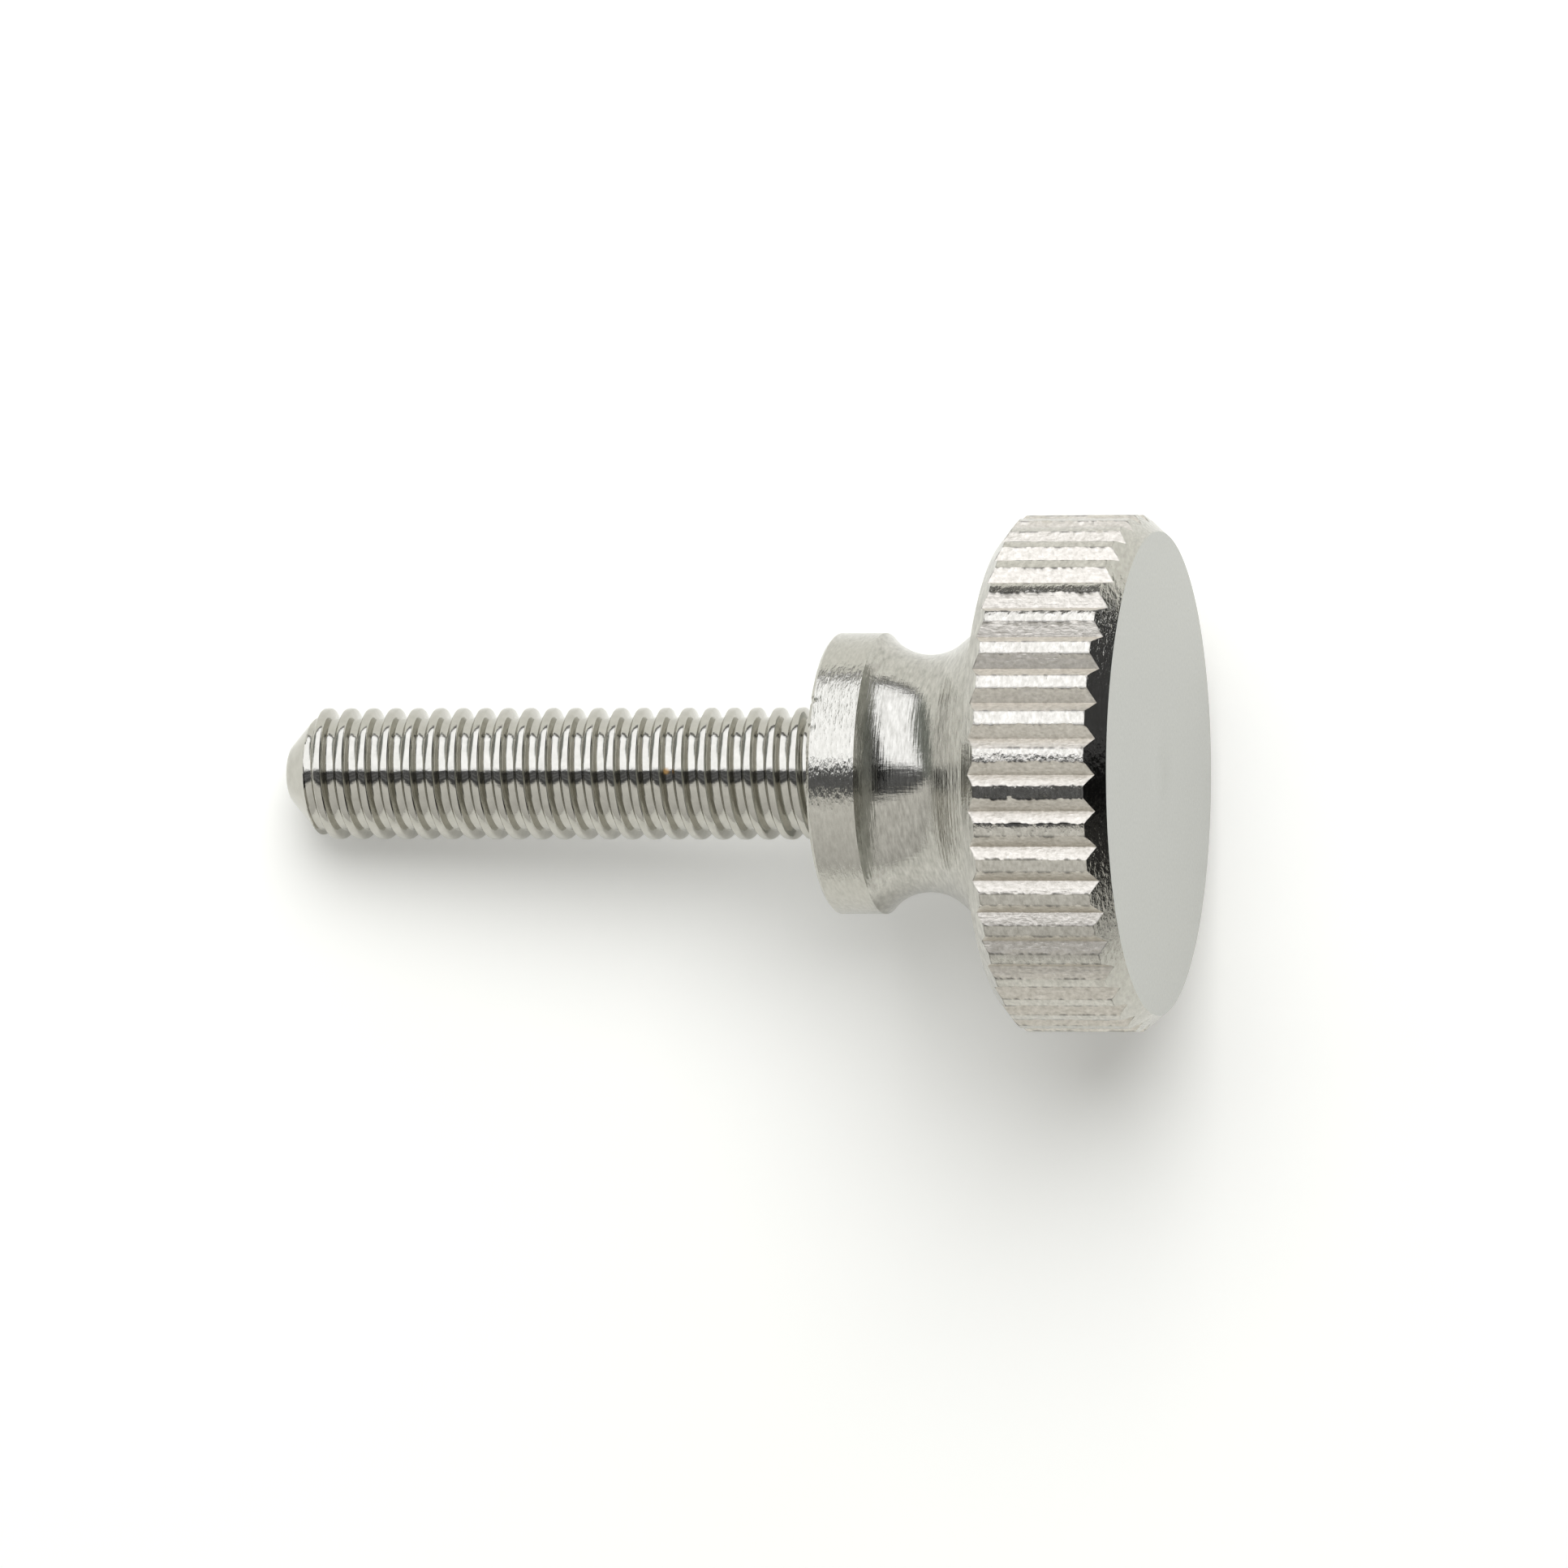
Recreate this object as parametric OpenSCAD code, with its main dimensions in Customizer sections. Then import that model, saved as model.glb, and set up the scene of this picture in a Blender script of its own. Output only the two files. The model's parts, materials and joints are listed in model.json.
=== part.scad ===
// Knurled thumb screw, turned in one piece from round bar.
// It stands on the flat end of its head, with the thread upwards.

/* [Head] */
// Diameter of the head over the knurl
head_d = 15.3; // [13:0.1:24]
// Length of the knurled lands along the axis
land_len = 3.3; // [1.5:0.05:8]
// Length of the chamfer on the end face, along the axis
face_chamfer_len = 0.57; // [0.3:0.01:1]
// Depth of the chamfer on the end face, from the knurl inwards
face_chamfer_drop = 0.5; // [0.3:0.01:1]
// Length of the chamfer on the neck side, along the axis
back_chamfer_len = 0.47; // [0.3:0.01:1]
// Depth of the chamfer on the neck side, from the knurl inwards
back_chamfer_drop = 0.57; // [0.3:0.01:1]

/* [Knurl] */
// Number of grooves round the head
groove_count = 44; // [24:1:56]
// Width of a groove at the outside of the head
groove_w = 0.74; // [0.4:0.02:0.82]
// Depth of a groove
groove_depth = 0.25; // [0.1:0.01:0.28]

/* [Neck] */
// Diameter of the neck where it is narrowest
neck_d = 7.05; // [5.5:0.05:8]
// Length of the neck, from the head to the collar
neck_len = 3.95; // [3.2:0.05:8]
// Radius of the round cove that runs up to the collar
cove_r = 1.75; // [1.2:0.05:2.4]
// Slope of the flank from the head to the cove, measured from the axis
flank_angle = 40; // [30:1:50]

/* [Collar] */
// Diameter of the collar
collar_d = 8.35; // [7.4:0.05:10]
// Length of the collar's straight side
collar_len = 1.45; // [0.8:0.05:4]
// Width of the broken edge round the bearing face
collar_edge = 0.1; // [0.05:0.05:0.4]

/* [Shank] */
// Outside diameter of the thread
thread_d = 3.95; // [3:0.05:6]
// Length of the shank, from the bearing face of the collar to the tip
shank_len = 16.95; // [10:0.05:40]
// Length of the taper at the tip
tip_len = 1.05; // [0.4:0.05:2]
// Diameter of the flat on the tip
tip_flat_d = 1.6; // [0.6:0.1:2.6]

/* [Hidden] */
$fn = 96;

head_r = head_d / 2;
neck_r = neck_d / 2;
collar_r = collar_d / 2;
thread_r = thread_d / 2;
tip_flat_r = tip_flat_d / 2;
face_r = head_r - face_chamfer_drop;
back_r = head_r - back_chamfer_drop;

// Heights above the end face that the screw stands on
land_start_z = face_chamfer_len;
land_end_z = land_start_z + land_len;
head_top_z = land_end_z + back_chamfer_len;
collar_start_z = head_top_z + neck_len;
bearing_z = collar_start_z + collar_len;
tip_z = bearing_z + shank_len;
thread_end_z = tip_z - tip_len;

// The cove ends on the lower edge of the collar, and leaves the flank where their slopes agree
cove_axis_r = neck_r + cove_r;
cove_z = collar_start_z - sqrt(pow(cove_r, 2) - pow(cove_axis_r - collar_r, 2));
flank_end_r = cove_axis_r - cove_r * cos(flank_angle);
flank_end_z = cove_z - cove_r * sin(flank_angle);
flank_start_r = flank_end_r + (flank_end_z - head_top_z) * tan(flank_angle);

// Half the outline of the turned blank, as radius and height. The cove is cut from it afterwards.
blank = [
    [0, 0],
    [face_r, 0],
    [head_r, land_start_z],
    [head_r, land_end_z],
    [back_r, head_top_z],
    [flank_start_r, head_top_z],
    [flank_end_r, flank_end_z],
    [collar_r, cove_z],
    [collar_r, bearing_z - collar_edge],
    [collar_r - collar_edge, bearing_z],
    [thread_r, bearing_z],
    [thread_r, thread_end_z],
    [tip_flat_r, tip_z],
    [0, tip_z]
];

// The turned form, before the knurl
module turned_blank() {
    rotate_extrude()
        difference() {
            polygon(blank);
            translate([cove_axis_r, cove_z])
                circle(r = cove_r);
        }
}

// One straight groove of the knurl, cut right through the head from chamfer to chamfer
module knurl_groove() {
    root_r = head_r - groove_depth;
    land_edge_r = sqrt(pow(head_r, 2) - pow(groove_w / 2, 2));
    // Twice as deep as the groove, so that its open side is clear of the head
    mouth_r = 2 * land_edge_r - root_r;
    linear_extrude(head_top_z)
        polygon([[root_r, 0], [mouth_r, groove_w], [mouth_r, -groove_w]]);
}

module thumb_screw() {
    color([0.78, 0.77, 0.74])
        difference() {
            turned_blank();
            for (turn = [0 : groove_count - 1])
                rotate([0, 0, turn * 360 / groove_count])
                    knurl_groove();
        }
}

thumb_screw();
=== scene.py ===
"""Knurled thumb screw, standing on its head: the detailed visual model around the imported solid."""

import json
import math

import bmesh
import bpy
from mathutils import Matrix, Vector, noise


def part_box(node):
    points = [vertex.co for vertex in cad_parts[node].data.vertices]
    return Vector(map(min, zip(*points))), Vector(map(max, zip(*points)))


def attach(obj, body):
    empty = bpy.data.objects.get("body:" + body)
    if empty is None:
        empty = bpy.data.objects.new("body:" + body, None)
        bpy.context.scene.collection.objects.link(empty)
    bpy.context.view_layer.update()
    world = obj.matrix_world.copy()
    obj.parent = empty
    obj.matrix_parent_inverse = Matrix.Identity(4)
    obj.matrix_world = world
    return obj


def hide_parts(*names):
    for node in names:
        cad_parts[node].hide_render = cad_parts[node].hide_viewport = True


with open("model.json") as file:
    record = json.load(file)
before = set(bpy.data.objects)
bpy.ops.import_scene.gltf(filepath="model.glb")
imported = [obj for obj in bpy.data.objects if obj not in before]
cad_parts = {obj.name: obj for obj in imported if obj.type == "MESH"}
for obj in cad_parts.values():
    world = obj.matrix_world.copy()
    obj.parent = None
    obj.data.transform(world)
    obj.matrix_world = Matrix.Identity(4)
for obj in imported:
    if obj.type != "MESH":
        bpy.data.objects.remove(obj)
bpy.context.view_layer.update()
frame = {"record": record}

MM = 0.001
scene = bpy.context.scene

# Sizes that the frame gives: the thread, the bearing face and the top of the tip
mounts = {mount["name"]: mount for mount in frame["record"]["mounts"]}
thread_r = mounts["threaded_shank"]["dims"]["r_mm"] * MM
bearing_z = mounts["bearing_face"]["pos_m"][2]
tip_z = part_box("thumb_screw")[1].z
thread_len = mounts["threaded_shank"]["dims"]["length_mm"] * MM
thread_end_z = bearing_z + thread_len

# Sizes of the head, the neck and the collar, as in the part's source
head_r = 7.65 * MM
face_r = head_r - 0.5 * MM
back_r = head_r - 0.57 * MM
land_start_z = 0.57 * MM
land_end_z = land_start_z + 3.3 * MM
head_top_z = land_end_z + 0.47 * MM
neck_r = 3.525 * MM
cove_r = 1.75 * MM
flank_slope = math.radians(40)
collar_r = 4.175 * MM
collar_edge = 0.1 * MM
collar_start_z = bearing_z - 1.45 * MM
cove_axis_r = neck_r + cove_r
cove_z = collar_start_z - math.sqrt(cove_r ** 2 - (cove_axis_r - collar_r) ** 2)

# The shallow dimple in the middle of the end face, as radius and height
dimple = [(0, 0.03 * MM), (0.45 * MM, 0.03 * MM), (0.8 * MM, 0.012 * MM), (0.9 * MM, 0)]

# Rings of points along each stretch of the turned outline
face_rings, face_chamfer_rings, land_rings, back_chamfer_rings = 6, 5, 52, 4
flank_rings, cove_rings, collar_rings = 8, 22, 14

# The knurl: each pitch is cut into columns, of which the middle ones are the groove
groove_count = 44
pitch_angle = 2 * math.pi / groove_count
columns_per_pitch = 12
groove_half_columns = 4
groove_depth = 0.25 * MM
groove_lean = 0.05 * MM

# Wear of the knurl: marks per millimetre, and how far each kind of place moves
fine_per_mm, coarse_per_mm = 8.5, 2.1
land_wave, wall_wave, burr_wave = 0.003 * MM, 0.008 * MM, 0.006 * MM
burr_shift_mm, burr_fine_mm, burr_coarse_mm = 0.02, 0.06, 0.04
rolled_drop_mm, rolled_rough_mm, rolled_fine_mm, rolled_coarse_mm = 0.008, 0.012, 0.03, 0.02
# The painted shade along the knurl's edges, which stands in for the shade of their burrs, comes and goes with
# the same marks
dark_share, dark_fine, dark_coarse = 0.65, 0.8, 0.5

# Nicks in the collar's edge: degrees round the axis, half width and depth, and how far they reach along it
nicks = ((-58.4, 0.12 * MM, 0.09 * MM), (-70.5, 0.1 * MM, 0.07 * MM))
nick_reach = 0.25 * MM

# The metric thread: half of its outline in millimetres, from the root to the crest, as radius and height
half_thread_mm = [(1.685, 0), (1.687, 0.06), (1.694, 0.1), (1.712, 0.125), (1.76, 0.15), (1.83, 0.178),
                  (1.9, 0.206), (1.942, 0.228), (1.962, 0.252), (1.972, 0.29), (1.975, 0.35)]
pitch = 0.7 * MM
thread_phase_z = 0.01 * MM
thread_columns = 48
first_turn, turns = 12, 27
runout_len = 0.7 * MM
runout_r = thread_r - 0.15 * MM
runout_share = 0.7

# The tip: its taper is cut open below the end, and rings of radius and depth in millimetres round its edge
tip_flat_r = 0.8 * MM
tip_cut_z = tip_z - 0.25 * MM
tip_rings_mm = ((0.9, 0.09), (0.85, 0.05), (0.79, 0.02), (0.71, 0.004), (0.6, 0))

# Working tolerances, and how far from its plane a face still belongs to the end face or the back chamfer
end_face_reach = 0.05 * MM
back_chamfer_reach = 0.1 * MM
near = 0.001 * MM
merge_reach = 0.0005 * MM
cut_reach = 1e-7
crease = math.radians(25)

# Finishes, in the order of the mesh's materials
TURNED, CUT, FACED, ROLLED, LAND, NECK = range(6)


def spaced(start, end, count):
    """Count values from start to end, without the start."""
    return [start + (end - start) * step / count for step in range(1, count + 1)]


def polyline(bm, points):
    """A chain of edges through points given as radius and height, in the plane of +X."""
    verts = [bm.verts.new((r, 0, z)) for r, z in points]
    edges = [bm.edges.new(pair) for pair in zip(verts, verts[1:])]
    return verts + edges


def turned_outline():
    """Half the section of head, neck and collar, from the axis on the end face to the bearing face."""
    points = dimple + [(r, 0) for r in spaced(dimple[-1][0], face_r, face_rings)]
    points += [(face_r + (head_r - face_r) * t, land_start_z * t) for t in spaced(0, 1, face_chamfer_rings)]
    points += [(head_r, z) for z in spaced(land_start_z, land_end_z, land_rings)]
    for t in spaced(0, 1, back_chamfer_rings):
        points.append((head_r + (back_r - head_r) * t, land_end_z + (head_top_z - land_end_z) * t))
    flank_end_r = cove_axis_r - cove_r * math.cos(flank_slope)
    flank_end_z = cove_z - cove_r * math.sin(flank_slope)
    flank_start_r = flank_end_r + (flank_end_z - head_top_z) * math.tan(flank_slope)
    points.append((flank_start_r, head_top_z))
    for t in spaced(0, 1, flank_rings):
        points.append((flank_start_r + (flank_end_r - flank_start_r) * t,
                       head_top_z + (flank_end_z - head_top_z) * t))
    cove_end = math.asin((collar_start_z - cove_z) / cove_r)
    for angle in spaced(-flank_slope, cove_end, cove_rings):
        points.append((cove_axis_r - cove_r * math.cos(angle), cove_z + cove_r * math.sin(angle)))
    points += [(collar_r, z) for z in spaced(collar_start_z, bearing_z - collar_edge, collar_rings)]
    points.append((collar_r - collar_edge, bearing_z))
    return points


def knurl_radius(column):
    """Radius of the knurled surface at a column of its pitch, counted from the groove's middle."""
    if abs(column) >= groove_half_columns:
        return head_r
    return head_r - groove_depth * (1 - abs(column) / groove_half_columns)


def cut_knurl(bm):
    """Presses one groove into a sector of the head, pointed on both chamfers, and marks its edges for the
    painted shade along them.
    """
    on_knurl = bm.verts.layers.int.new("on_knurl")
    column_of = bm.verts.layers.float.new("column")
    edge_of = bm.verts.layers.float.new("edge")
    for vert in bm.verts:
        r = math.hypot(vert.co.x, vert.co.y)
        if r <= back_r or vert.co.z > head_top_z:
            continue
        angle = math.atan2(vert.co.y, vert.co.x)
        column = angle / pitch_angle * columns_per_pitch
        knurl_r = knurl_radius(column)
        start_z = land_start_z * (knurl_r - face_r) / (head_r - face_r)
        end_z = head_top_z - (head_top_z - land_end_z) * (knurl_r - back_r) / (head_r - back_r)
        z = vert.co.z
        if z < land_start_z - near:
            share = z / land_start_z
            r, z = face_r + (knurl_r - face_r) * share, start_z * share
        elif z > land_end_z + near:
            share = (head_top_z - z) / (head_top_z - land_end_z)
            r, z = back_r + (knurl_r - back_r) * share, head_top_z - (head_top_z - end_z) * share
        else:
            share = (z - land_start_z) / (land_end_z - land_start_z)
            r, z = knurl_r, start_z + (end_z - start_z) * share
            vert[on_knurl] = 1
            vert[column_of] = column
            at_end = min(share, 1 - share) < 0.001
            at_land_edge = abs(abs(column) - groove_half_columns) < 0.1
            vert[edge_of] = 1 if at_end or at_land_edge else 0
            angle -= groove_lean / r * (head_r - r) / groove_depth
        vert.co = (r * math.cos(angle), r * math.sin(angle), z)


def wear_knurl(bm):
    """Rolls one edge of each land, leaves a ragged burr on the other, roughens the cut walls, and breaks up
    the painted edge shade.
    """
    on_knurl = bm.verts.layers.int["on_knurl"]
    column_of = bm.verts.layers.float["column"]
    edge_of = bm.verts.layers.float["edge"]
    for vert in bm.verts:
        if not vert[on_knurl]:
            continue
        r = math.hypot(vert.co.x, vert.co.y)
        angle = math.atan2(vert.co.y, vert.co.x)
        column = vert[column_of]
        spot = vert.co / MM
        fine = noise.noise(spot * fine_per_mm)
        coarse = noise.noise(spot * coarse_per_mm)
        # The painted shade on the knurl's edges is broken up by the same noise
        vert[edge_of] *= min(1, max(0, dark_share + dark_fine * fine + dark_coarse * coarse))
        if abs(column) > groove_half_columns + 0.5:
            r += land_wave * coarse
        elif column > groove_half_columns - 0.5:
            angle -= (burr_shift_mm + burr_fine_mm * fine + burr_coarse_mm * coarse) * MM / r
            r += burr_wave * fine
        elif column < -groove_half_columns + 0.5:
            r -= (rolled_drop_mm + rolled_rough_mm * fine) * MM
            angle += (rolled_fine_mm * fine + rolled_coarse_mm * coarse) * MM / r
        else:
            r += wall_wave * (fine + coarse) / 2
        vert.co.x, vert.co.y = r * math.cos(angle), r * math.sin(angle)


def nick_collar(bm):
    """Small dents in the collar's edge next to the bearing face."""
    for vert in bm.verts:
        if vert.co.z < bearing_z - nick_reach:
            continue
        r = math.hypot(vert.co.x, vert.co.y)
        for degrees, half_width, depth in nicks:
            across = (math.atan2(vert.co.y, vert.co.x) - math.radians(degrees)) * r
            if abs(across) < half_width:
                near_edge = 1 - (bearing_z - vert.co.z) / nick_reach
                dent = depth * (1 - (across / half_width) ** 2) * near_edge
                vert.co.x *= (r - dent) / r
                vert.co.y *= (r - dent) / r


def thread_outline():
    """One pitch of the thread, from root to root, as radius and height."""
    crest_r, crest_z = half_thread_mm[-1]
    points = half_thread_mm + [(r, 2 * crest_z - z) for r, z in reversed(half_thread_mm[:-1])]
    scale = thread_r / crest_r
    return [(r * scale, z * MM) for r, z in points]


def finish_of(face, on_knurl, column_of):
    """The finish of a face of the head, the neck or the collar."""
    middle = face.calc_center_median()
    on_end_face = abs(middle.z) < end_face_reach and math.hypot(middle.x, middle.y) < face_r
    if on_end_face or abs(middle.z - head_top_z) < near:
        return FACED
    if not all(vert[on_knurl] for vert in face.verts):
        return NECK if land_end_z - back_chamfer_reach < middle.z < collar_start_z else TURNED
    widest = max(abs(vert[column_of]) for vert in face.verts)
    return CUT if widest < groove_half_columns + 0.5 else LAND


def make_thread():
    """Winds the thread from the bearing face to the tip, where it runs out on the taper."""
    bm = bmesh.new()
    first_turn_z = thread_phase_z + first_turn * pitch
    geom = polyline(bm, [(r, z + first_turn_z) for r, z in thread_outline()])
    bmesh.ops.spin(bm, geom=geom, cent=(0, 0, 0), axis=(0, 0, 1), dvec=(0, 0, pitch / thread_columns),
                   angle=2 * math.pi, steps=thread_columns)
    bmesh.ops.spin(bm, geom=bm.verts[:] + bm.edges[:] + bm.faces[:], cent=(0, 0, 0), axis=(0, 0, 1),
                   dvec=(0, 0, pitch), angle=0, steps=turns - 1, use_duplicate=True)
    bmesh.ops.remove_doubles(bm, verts=bm.verts, dist=merge_reach)
    bmesh.ops.bisect_plane(bm, geom=bm.verts[:] + bm.edges[:] + bm.faces[:], dist=cut_reach,
                           plane_co=(0, 0, tip_cut_z), plane_no=(0, 0, 1), clear_outer=True)
    bmesh.ops.bisect_plane(bm, geom=bm.verts[:] + bm.edges[:] + bm.faces[:], dist=cut_reach,
                           plane_co=(0, 0, bearing_z), plane_no=(0, 0, 1), clear_inner=True)
    for vert in bm.verts:
        r = math.hypot(vert.co.x, vert.co.y)
        taper = tip_flat_r + (tip_z - vert.co.z) * (thread_r - tip_flat_r) / (tip_z - thread_end_z)
        kept = min(r, taper)
        fade = max(0.0, 1 - (vert.co.z - bearing_z) / runout_len)
        kept += (runout_r - kept) * runout_share * fade
        vert.co.x *= kept / r
        vert.co.y *= kept / r
    mesh = bpy.data.meshes.new("thread")
    bm.to_mesh(mesh)
    bm.free()
    return mesh


def close_tip(bm, loop):
    """Carries the open end of the taper over a rounded edge to the flat on the tip."""
    for r_mm, depth_mm in tip_rings_mm:
        grown = bmesh.ops.extrude_edge_only(bm, edges=loop)["geom"]
        loop = [item for item in grown if isinstance(item, bmesh.types.BMEdge) and item.is_boundary]
        for vert in {vert for edge in loop for vert in edge.verts}:
            scale = r_mm * MM / math.hypot(vert.co.x, vert.co.y)
            vert.co = (vert.co.x * scale, vert.co.y * scale, tip_z - depth_mm * MM)
        for face in {face for edge in loop for face in edge.link_faces}:
            face.material_index = ROLLED
    for face in bmesh.ops.edgeloop_fill(bm, edges=loop)["faces"]:
        face.material_index = ROLLED


def screw_mesh():
    """The whole screw as one closed mesh, with a finish on each face."""
    bm = bmesh.new()
    geom = polyline(bm, turned_outline())
    bmesh.ops.rotate(bm, cent=(0, 0, 0), matrix=Matrix.Rotation(-pitch_angle / 2, 3, "Z"), verts=bm.verts)
    bmesh.ops.spin(bm, geom=geom, cent=(0, 0, 0), axis=(0, 0, 1), angle=pitch_angle, steps=columns_per_pitch)
    cut_knurl(bm)
    bmesh.ops.spin(bm, geom=bm.verts[:] + bm.edges[:] + bm.faces[:], cent=(0, 0, 0), axis=(0, 0, 1),
                   angle=2 * math.pi - pitch_angle, steps=groove_count - 1, use_duplicate=True)
    bmesh.ops.remove_doubles(bm, verts=bm.verts, dist=merge_reach)
    wear_knurl(bm)
    nick_collar(bm)
    on_knurl = bm.verts.layers.int["on_knurl"]
    column_of = bm.verts.layers.float["column"]
    for face in bm.faces:
        face.material_index = finish_of(face, on_knurl, column_of)
    turned_faces = len(bm.faces)
    thread = make_thread()
    bm.from_mesh(thread)
    bpy.data.meshes.remove(thread)
    bm.faces.ensure_lookup_table()
    for face in bm.faces[turned_faces:]:
        face.material_index = ROLLED
    rim = [edge for edge in bm.edges if edge.is_boundary]
    tip_loop = [edge for edge in rim if edge.verts[0].co.z > tip_cut_z - 10 * near]
    bearing_loops = [edge for edge in rim if edge.verts[0].co.z < tip_cut_z - 10 * near]
    close_tip(bm, tip_loop)
    for face in bmesh.ops.bridge_loops(bm, edges=bearing_loops)["faces"]:
        face.material_index = FACED
    bmesh.ops.recalc_face_normals(bm, faces=bm.faces)
    for face in bm.faces:
        face.smooth = True
    for edge in bm.edges:
        if edge.calc_face_angle(0) > crease:
            edge.smooth = False
    mesh = bpy.data.meshes.new("thumb_screw_turned")
    bm.to_mesh(mesh)
    bm.free()
    return mesh


def linear(hex_colour):
    """An sRGB hex value as linear colour."""
    channels = [int(hex_colour[i:i + 2], 16) / 255 for i in (0, 2, 4)]
    return [c / 12.92 if c <= 0.04045 else ((c + 0.055) / 1.055) ** 2.4 for c in channels] + [1]


def add_node(tree, kind, settings=None, **links):
    """Adds a node, sets its properties and inputs, and links sockets to inputs, by name or as in_NUMBER."""
    node = tree.nodes.new(kind)
    for name, value in (settings or {}).items():
        if isinstance(name, int) or name in node.inputs:
            node.inputs[name].default_value = value
        else:
            setattr(node, name, value)
    for name, socket in links.items():
        key = int(name[3:]) if name.startswith("in_") else name
        tree.links.new(socket, node.inputs[key])
    return node


def new_tree(owner):
    """The emptied node tree of a material or a world."""
    owner.use_nodes = True
    owner.node_tree.nodes.clear()
    return owner.node_tree


def steel_finish(name, dull, bright, roughness, marks, edge_tone=None):
    """A bare steel, mottled from dull to bright. Each mark is a layer of relief: its grain in millimetres
    along X, Y and the axis, and its depth. Edges that the mesh marks are darkened to the edge tone, a painted
    shade standing in for the shade of the burrs along the knurl's edges."""
    material = bpy.data.materials.new(name)
    tree = new_tree(material)
    place = add_node(tree, "ShaderNodeTexCoord")
    links = {}
    for grain_mm, depth_mm in marks:
        grain = add_node(tree, "ShaderNodeMapping", {"Scale": [1 / (size * MM) for size in grain_mm]},
                         Vector=place.outputs["Object"])
        pattern = add_node(tree, "ShaderNodeTexNoise", {"Scale": 1.0, "Detail": 3.0, "Roughness": 0.55},
                           Vector=grain.outputs[0])
        relief = add_node(tree, "ShaderNodeBump", {"Strength": 1.0, "Distance": depth_mm * MM},
                          Height=pattern.outputs[0], **links)
        links = {"Normal": relief.outputs[0]}
    tone = add_node(tree, "ShaderNodeMix", {"data_type": "RGBA", 6: linear(dull), 7: linear(bright)},
                    in_0=pattern.outputs[0])
    if edge_tone is not None:
        # Painted shade: the marked knurl edges are darkened towards the edge tone, standing in for the shade
        # of their burrs
        edge = add_node(tree, "ShaderNodeAttribute", {"attribute_name": "edge"})
        edge_shade = add_node(tree, "ShaderNodeMapRange", {"From Min": 0.35, "To Min": 1.0, "To Max": edge_tone},
                        Value=edge.outputs["Fac"])
        tone = add_node(tree, "ShaderNodeMix", {"data_type": "RGBA", "blend_type": "MULTIPLY", 0: 1.0},
                        in_6=tone.outputs[2], in_7=edge_shade.outputs[0])
    links["Base Color"] = tone.outputs[2]
    steel = add_node(tree, "ShaderNodeBsdfPrincipled", {"Metallic": 1.0, "Roughness": roughness}, **links)
    add_node(tree, "ShaderNodeOutputMaterial", Surface=steel.outputs[0])
    return material


# Bright turned stainless steel: a neutral mirror, broken up by short handling scratches
turned_steel = steel_finish("bright turned stainless steel", "a3a198", "cbc9c1", 0.13,
                            [((3, 3, 0.07), 0.004), ((0.26, 0.26, 0.09), 0.022)])
# Cut groove walls: duller, because the cutter tore them along the groove, so they blur what they mirror
# Its marked edges get painted shade in place of the shade of the burrs
cut_steel = steel_finish("cut knurl stainless steel", "a49f93", "f4efe6", 0.4,
                         [((0.05, 0.05, 0.8), 0.006), ((0.1, 0.1, 0.14), 0.016)], edge_tone=0.3)
# Faced ends: even satin from a fine facing cut
faced_steel = steel_finish("satin faced stainless steel", "a2a39e", "bfc0bb", 0.3, [((0.1, 0.1, 0.1), 0.001)])
# Rolled thread: smooth and bright
rolled_steel = steel_finish("rolled thread stainless steel", "aaa89f", "c4c2ba", 0.12,
                            [((0.3, 0.3, 0.3), 0.006)])
# Knurl lands: what is left of the turned outside, bright, with fine tool marks across each land
# Their marked edges get painted shade in place of the shade of the burrs
land_steel = steel_finish("turned knurl land stainless steel", "8f8c82", "dfdcd4", 0.13,
                          [((3, 3, 0.08), 0.0035), ((0.2, 0.2, 0.12), 0.013)], edge_tone=0.3)
# Neck: bright, with clear lathe rings and the faint lengthwise chatter of the form tool
neck_steel = steel_finish("ringed neck stainless steel", "84827a", "d7d5cd", 0.15,
                          [((3, 3, 0.06), 0.009), ((0.13, 0.13, 4), 0.006), ((0.35, 0.35, 0.09), 0.006)])

# Amber speck of dirt stuck on the thread: matt, full in its middle and thin at its rim
speck_place = Vector((0.075, -1.69, 14.63)) * MM
tree = rolled_steel.node_tree
steel = tree.nodes["Principled BSDF"]
place = add_node(tree, "ShaderNodeTexCoord")
away = add_node(tree, "ShaderNodeVectorMath", {"operation": "DISTANCE", 1: speck_place},
                in_0=place.outputs["Object"])
speck = add_node(tree, "ShaderNodeMapRange", {"From Min": 0.04 * MM, "From Max": 0.13 * MM, "To Min": 0.75,
                                              "To Max": 0.0}, Value=away.outputs["Value"])
amber = add_node(tree, "ShaderNodeBsdfDiffuse", {"Color": linear("a5824f")})
both = add_node(tree, "ShaderNodeMixShader", in_0=speck.outputs[0], in_1=steel.outputs[0],
                in_2=amber.outputs[0])
tree.links.new(both.outputs[0], tree.nodes["Material Output"].inputs["Surface"])

screw = bpy.data.objects.new("thumb_screw_turned", screw_mesh())
for finish in (turned_steel, cut_steel, faced_steel, rolled_steel, land_steel, neck_steel):
    screw.data.materials.append(finish)
scene.collection.objects.link(screw)
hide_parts("thumb_screw")
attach(screw, "root")

# The photograph's own directions: the picture's up is +X, and the camera looks at the screw from the
# side of -Y and from a little under the end face
view_slope = math.radians(14.362)
picture_up = Vector((1, 0, 0))
picture_right = Vector((0, math.sin(view_slope), -math.cos(view_slope)))
to_camera = picture_right.cross(picture_up)
bearing_centre = Vector((0, 0, bearing_z))

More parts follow.
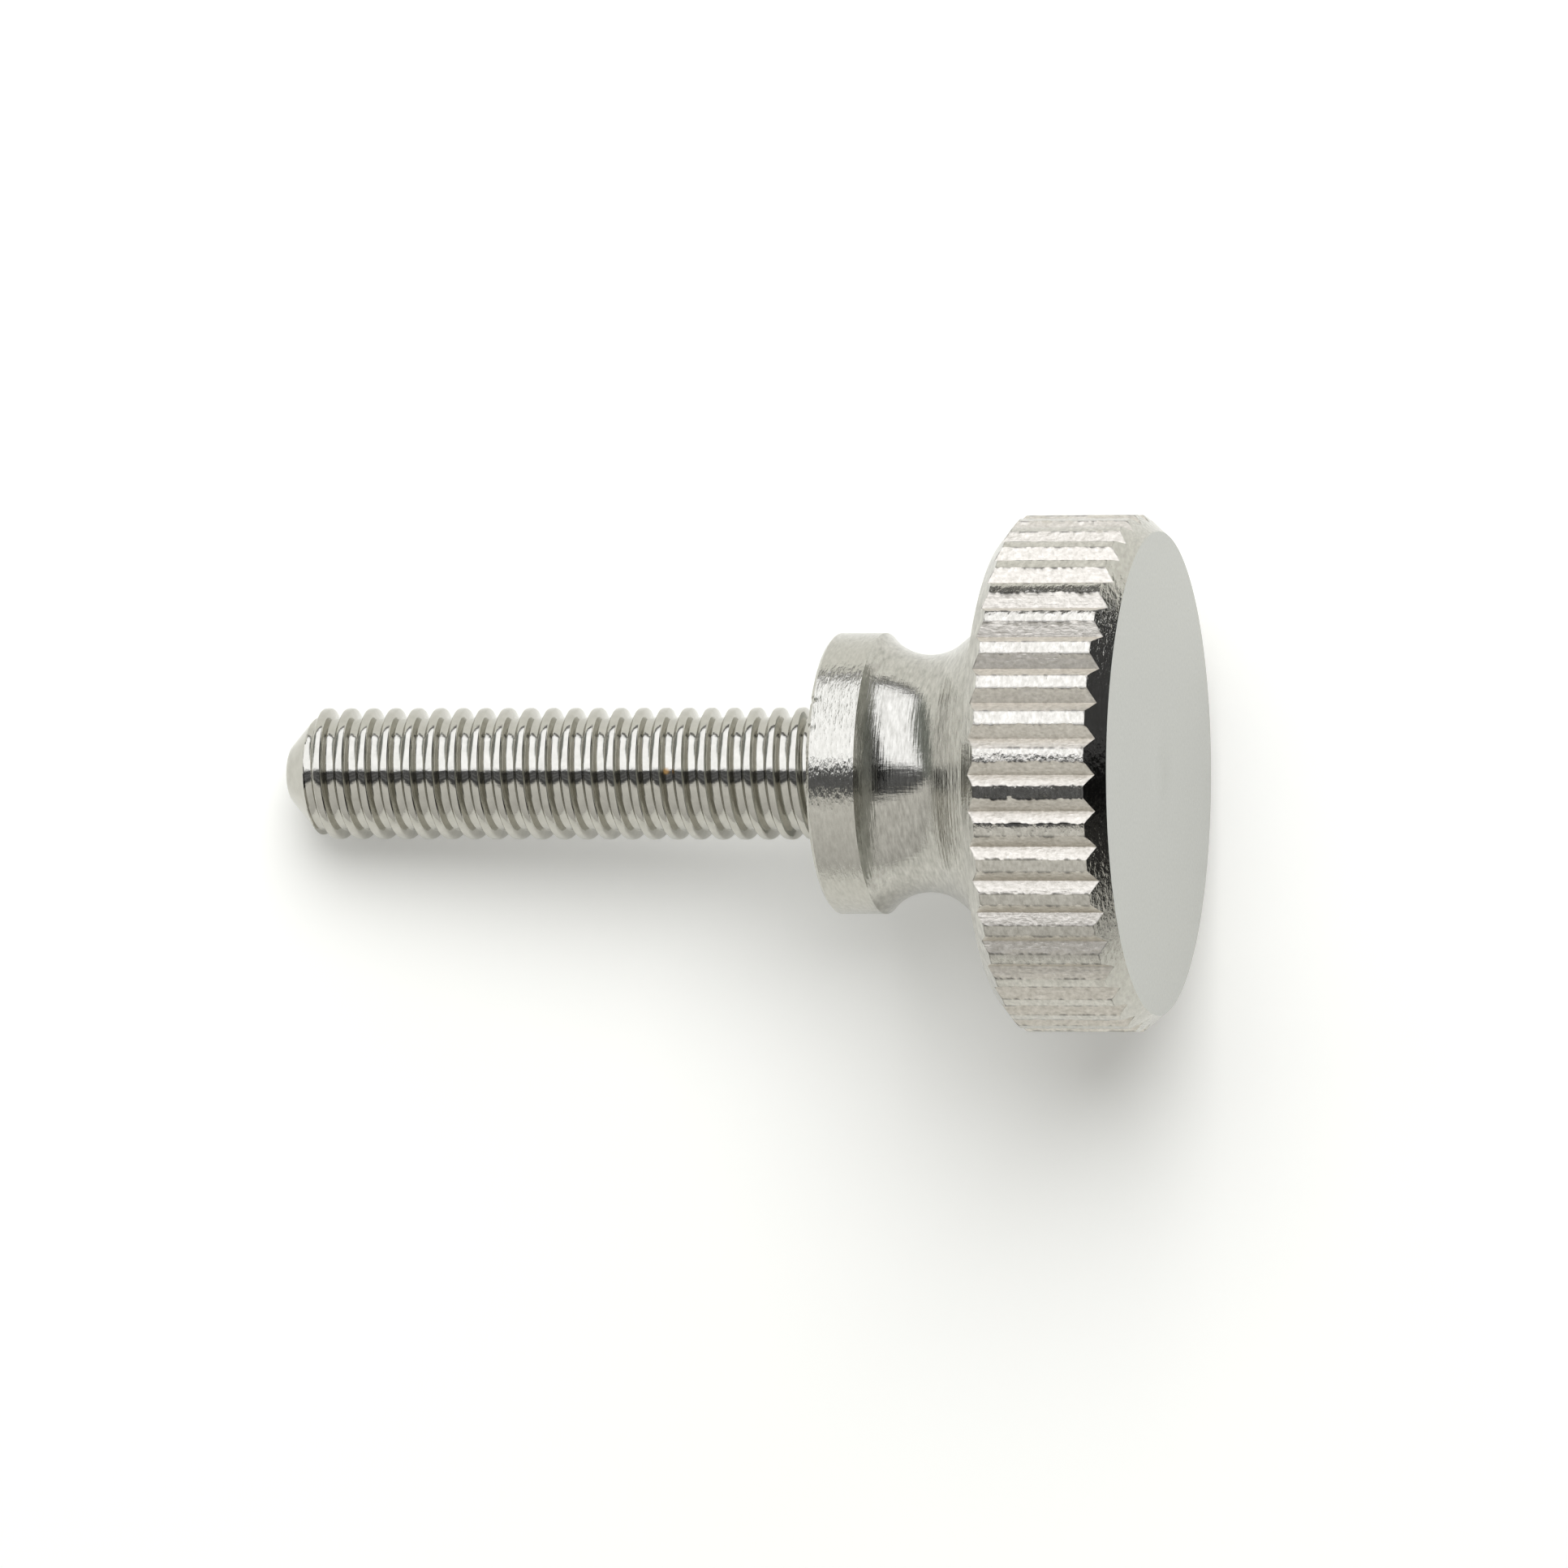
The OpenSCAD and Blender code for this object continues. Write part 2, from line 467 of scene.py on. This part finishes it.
# The camera: its distance from the bearing face, and how far left of that and below it the picture's
# middle is
camera_distance, aim_left, aim_below = 346.473 * MM, 1.652 * MM, 0.311 * MM
camera_data = bpy.data.cameras.new("camera")
camera_data.sensor_width = 36
camera_data.lens = 267.61
camera_data.clip_start = 0.01
camera = bpy.data.objects.new("camera", camera_data)
aim = bearing_centre - aim_left * picture_right - aim_below * picture_up
camera.matrix_world = Matrix.Translation(aim + camera_distance * to_camera) @ Matrix(
    (picture_right, picture_up, to_camera)).transposed().to_4x4()
scene.collection.objects.link(camera)
scene.camera = camera

# The backdrop leans against the head's rim and the end of the thread, where the photograph's table is
table_slope = math.radians(14.5886)
table_away = 5.91617 * MM
table_normal = Vector((0, -math.cos(table_slope), -math.sin(table_slope)))
table_right = table_normal.cross(picture_up) * -1
table_centre = bearing_centre - table_away * table_normal


def stage_plane(name, centre, across, along, half_across, half_along, material):
    """A flat sheet that belongs to the stage."""
    mesh = bpy.data.meshes.new(name)
    bm = bmesh.new()
    bmesh.ops.create_grid(bm, x_segments=1, y_segments=1, size=1)
    bmesh.ops.scale(bm, vec=(half_across, half_along, 1), verts=bm.verts)
    turn = Matrix((across, along, across.cross(along))).transposed().to_4x4()
    bmesh.ops.transform(bm, matrix=Matrix.Translation(centre) @ turn, verts=bm.verts)
    bm.to_mesh(mesh)
    bm.free()
    mesh.materials.append(material)
    plane = bpy.data.objects.new(name, mesh)
    scene.collection.objects.link(plane)


# Matt white paper: pure white to the camera where it is fully lit, and it keeps the soft shadow. From behind
# it is clear.
paper = bpy.data.materials.new("matt white paper")
tree = new_tree(paper)
side = add_node(tree, "ShaderNodeNewGeometry")
matt = add_node(tree, "ShaderNodeBsdfDiffuse", {"Color": linear("f6f6f4")})
lift = add_node(tree, "ShaderNodeEmission", {"Strength": 0.225})
lit = add_node(tree, "ShaderNodeAddShader", in_0=matt.outputs[0], in_1=lift.outputs[0])
clear = add_node(tree, "ShaderNodeBsdfTransparent")
front = add_node(tree, "ShaderNodeMixShader", in_0=side.outputs["Backfacing"], in_1=lit.outputs[0],
                 in_2=clear.outputs[0])
add_node(tree, "ShaderNodeOutputMaterial", Surface=front.outputs[0])

# The same paper as a floor that only the camera sees, and only from above. It keeps a shadow next to the
# head, partly
# painted: its glow is dimmer there and rises to full white further off, whatever the light.
floor_paper = bpy.data.materials.new("matt white floor paper")
tree = new_tree(floor_paper)
rays = add_node(tree, "ShaderNodeLightPath")
side = add_node(tree, "ShaderNodeNewGeometry")
above = add_node(tree, "ShaderNodeMath", {"operation": "SUBTRACT", 0: 1.0}, in_1=side.outputs["Backfacing"])
seen = add_node(tree, "ShaderNodeMath", {"operation": "MULTIPLY"}, in_0=rays.outputs["Is Camera Ray"],
                in_1=above.outputs[0])
matt = add_node(tree, "ShaderNodeBsdfDiffuse", {"Color": linear("5c5c5c")})
# Painted glow by distance from the axis: 0.9 within 9 mm, which is painted shade next to the head, up to full
# white at 16 mm
away = add_node(tree, "ShaderNodeVectorMath", {"operation": "LENGTH"}, in_0=side.outputs["Position"])
painted_floor_glow = add_node(tree, "ShaderNodeMapRange", {"From Min": 9 * MM, "From Max": 16 * MM, "To Min": 0.9,
                                             "To Max": 1.0}, Value=away.outputs["Value"])
lift = add_node(tree, "ShaderNodeEmission", Strength=painted_floor_glow.outputs[0])
lit = add_node(tree, "ShaderNodeAddShader", in_0=matt.outputs[0], in_1=lift.outputs[0])
clear = add_node(tree, "ShaderNodeBsdfTransparent")
front = add_node(tree, "ShaderNodeMixShader", in_0=seen.outputs[0], in_1=clear.outputs[0],
                 in_2=lit.outputs[0])
add_node(tree, "ShaderNodeOutputMaterial", Surface=front.outputs[0])

# Sizes of the stage in metres: the paper hangs lower than the screw, and the floor is just under the head
backdrop_drop, backdrop_half_w, backdrop_half_h = 0.1, 0.3, 0.195
floor_half, floor_gap = 0.4, 0.05 * MM
stage_plane("backdrop", table_centre - backdrop_drop * picture_up, table_right, picture_up,
            backdrop_half_w, backdrop_half_h, paper)
stage_plane("floor", Vector((0, 0, -floor_gap)), Vector((1, 0, 0)), Vector((0, 1, 0)),
            floor_half, floor_half, floor_paper)

# Studio light by direction round the screw's axis, in degrees from the camera towards the picture's top, with
# its brightness: the room, the dark zone round the camera with two thin gaps of light, the soft box, the
# dark behind it, and the room again
studio_stops = [
    (-180, 0.5), (-100, 0.48), (-90, 0.68), (-24, 0.94),
    (-18, 0.07), (-11, 0.07), (-9.5, 0.5), (-8, 0.07), (-3.5, 0.07), (-2.5, 0.6), (-1.5, 0.07), (6, 0.07),
    (9, 1.9), (85, 1.9),
    (88, 0.1), (120, 0.1),
    (150, 0.6), (180, 0.6)]
# The soft box and the dark zone are a little cool, and the room is a little warm
cool_start, cool_end = -20, 87
cool_tint, warm_tint = 0.06, -0.03
# Slopes of the edges of what lies beyond the head and past the tip
head_edge_to_top, head_edge_to_bottom, tip_edge = 0.7, -1.13, -0.56

world = bpy.data.worlds.new("studio")
scene.world = world
tree = new_tree(world)
direction = add_node(tree, "ShaderNodeTexCoord").outputs["Generated"]
part = {}
for name, axis in (("up", picture_up), ("near", to_camera), ("right", picture_right)):
    dot = add_node(tree, "ShaderNodeVectorMath", {"operation": "DOT_PRODUCT", 1: axis}, in_0=direction)
    part[name] = dot.outputs["Value"]
turn = add_node(tree, "ShaderNodeMath", {"operation": "ARCTAN2"}, in_0=part["up"], in_1=part["near"])
share = add_node(tree, "ShaderNodeMapRange", {"From Min": -math.pi, "From Max": math.pi},
                 Value=turn.outputs[0])
ramp = add_node(tree, "ShaderNodeValToRGB", Fac=share.outputs[0])
elements = ramp.color_ramp.elements
elements.remove(elements[-1])
for index, (degrees, value) in enumerate(studio_stops):
    position = (degrees + 180) / 360
    element = elements[0] if index == 0 else elements.new(position)
    element.position = position
    tint = cool_tint if cool_start < degrees < cool_end else warm_tint
    element.color = (value * (1 - tint / 4), value, value * (1 + tint), 1)

# Beyond the head it is nearly dark
to_top = add_node(tree, "ShaderNodeMath", {"operation": "MULTIPLY", 1: head_edge_to_top}, in_0=part["up"])
to_bottom = add_node(tree, "ShaderNodeMath", {"operation": "MULTIPLY", 1: head_edge_to_bottom},
                     in_0=part["up"])
aside = add_node(tree, "ShaderNodeMath", {"operation": "MAXIMUM"}, in_0=to_top.outputs[0],
                 in_1=to_bottom.outputs[0])
ahead = add_node(tree, "ShaderNodeMath", {"operation": "SUBTRACT"}, in_0=part["right"], in_1=aside.outputs[0])
beyond_head = add_node(tree, "ShaderNodeMapRange", {"From Min": 0.0, "From Max": 0.12, "To Min": 1.0,
                                                    "To Max": 0.04}, Value=ahead.outputs[0])

# Past the tip it is an even grey
leftward = add_node(tree, "ShaderNodeMath", {"operation": "MULTIPLY_ADD", 1: tip_edge}, in_0=part["up"],
                    in_2=part["right"])
past_tip = add_node(tree, "ShaderNodeMapRange", {"From Min": -0.93, "From Max": -1.0},
                    Value=leftward.outputs[0])
colour = add_node(tree, "ShaderNodeMix", {"data_type": "RGBA", 7: (0.29, 0.31, 0.29, 1)},
                  in_0=past_tip.outputs[0], in_6=ramp.outputs[0])

# The paper gets less of this light than the steel, and a little warmer, and the camera sees plain white
rays = add_node(tree, "ShaderNodeLightPath")
on_matt = add_node(tree, "ShaderNodeMapRange", {"To Min": 1.0, "To Max": 0.4},
                   Value=rays.outputs["Is Diffuse Ray"])
strength = add_node(tree, "ShaderNodeMath", {"operation": "MULTIPLY"}, in_0=beyond_head.outputs[0],
                    in_1=on_matt.outputs[0])
warmed = add_node(tree, "ShaderNodeMix", {"data_type": "RGBA", "blend_type": "MULTIPLY", 7: (1, 1, 0.88, 1)},
                  in_0=rays.outputs["Is Diffuse Ray"], in_6=colour.outputs[2])
room = add_node(tree, "ShaderNodeBackground", Color=warmed.outputs[2], Strength=strength.outputs[0])
white = add_node(tree, "ShaderNodeBackground", {"Color": (1, 1, 1, 1), "Strength": 1.0})
shown = add_node(tree, "ShaderNodeMixShader", in_0=rays.outputs["Is Camera Ray"], in_1=room.outputs[0],
                 in_2=white.outputs[0])
add_node(tree, "ShaderNodeOutputWorld", Surface=shown.outputs[0])

# The soft box that casts the shadow on the paper
soft_box_slope = math.radians(30)
soft_box_distance = 0.3
soft_box_data = bpy.data.lights.new("soft box", "AREA")
soft_box_data.shape = "DISK"
soft_box_data.size = 0.26
soft_box_data.energy = 0.64
soft_box = bpy.data.objects.new("soft box", soft_box_data)
to_soft_box = math.cos(soft_box_slope) * to_camera + math.sin(soft_box_slope) * picture_up
soft_box.matrix_world = Matrix.Translation(bearing_centre + soft_box_distance * to_soft_box) @ (
    to_soft_box.to_track_quat("Z", "Y").to_matrix().to_4x4())
soft_box.visible_camera = False
soft_box.visible_glossy = False
scene.collection.objects.link(soft_box)

scene.view_settings.view_transform = "Standard"
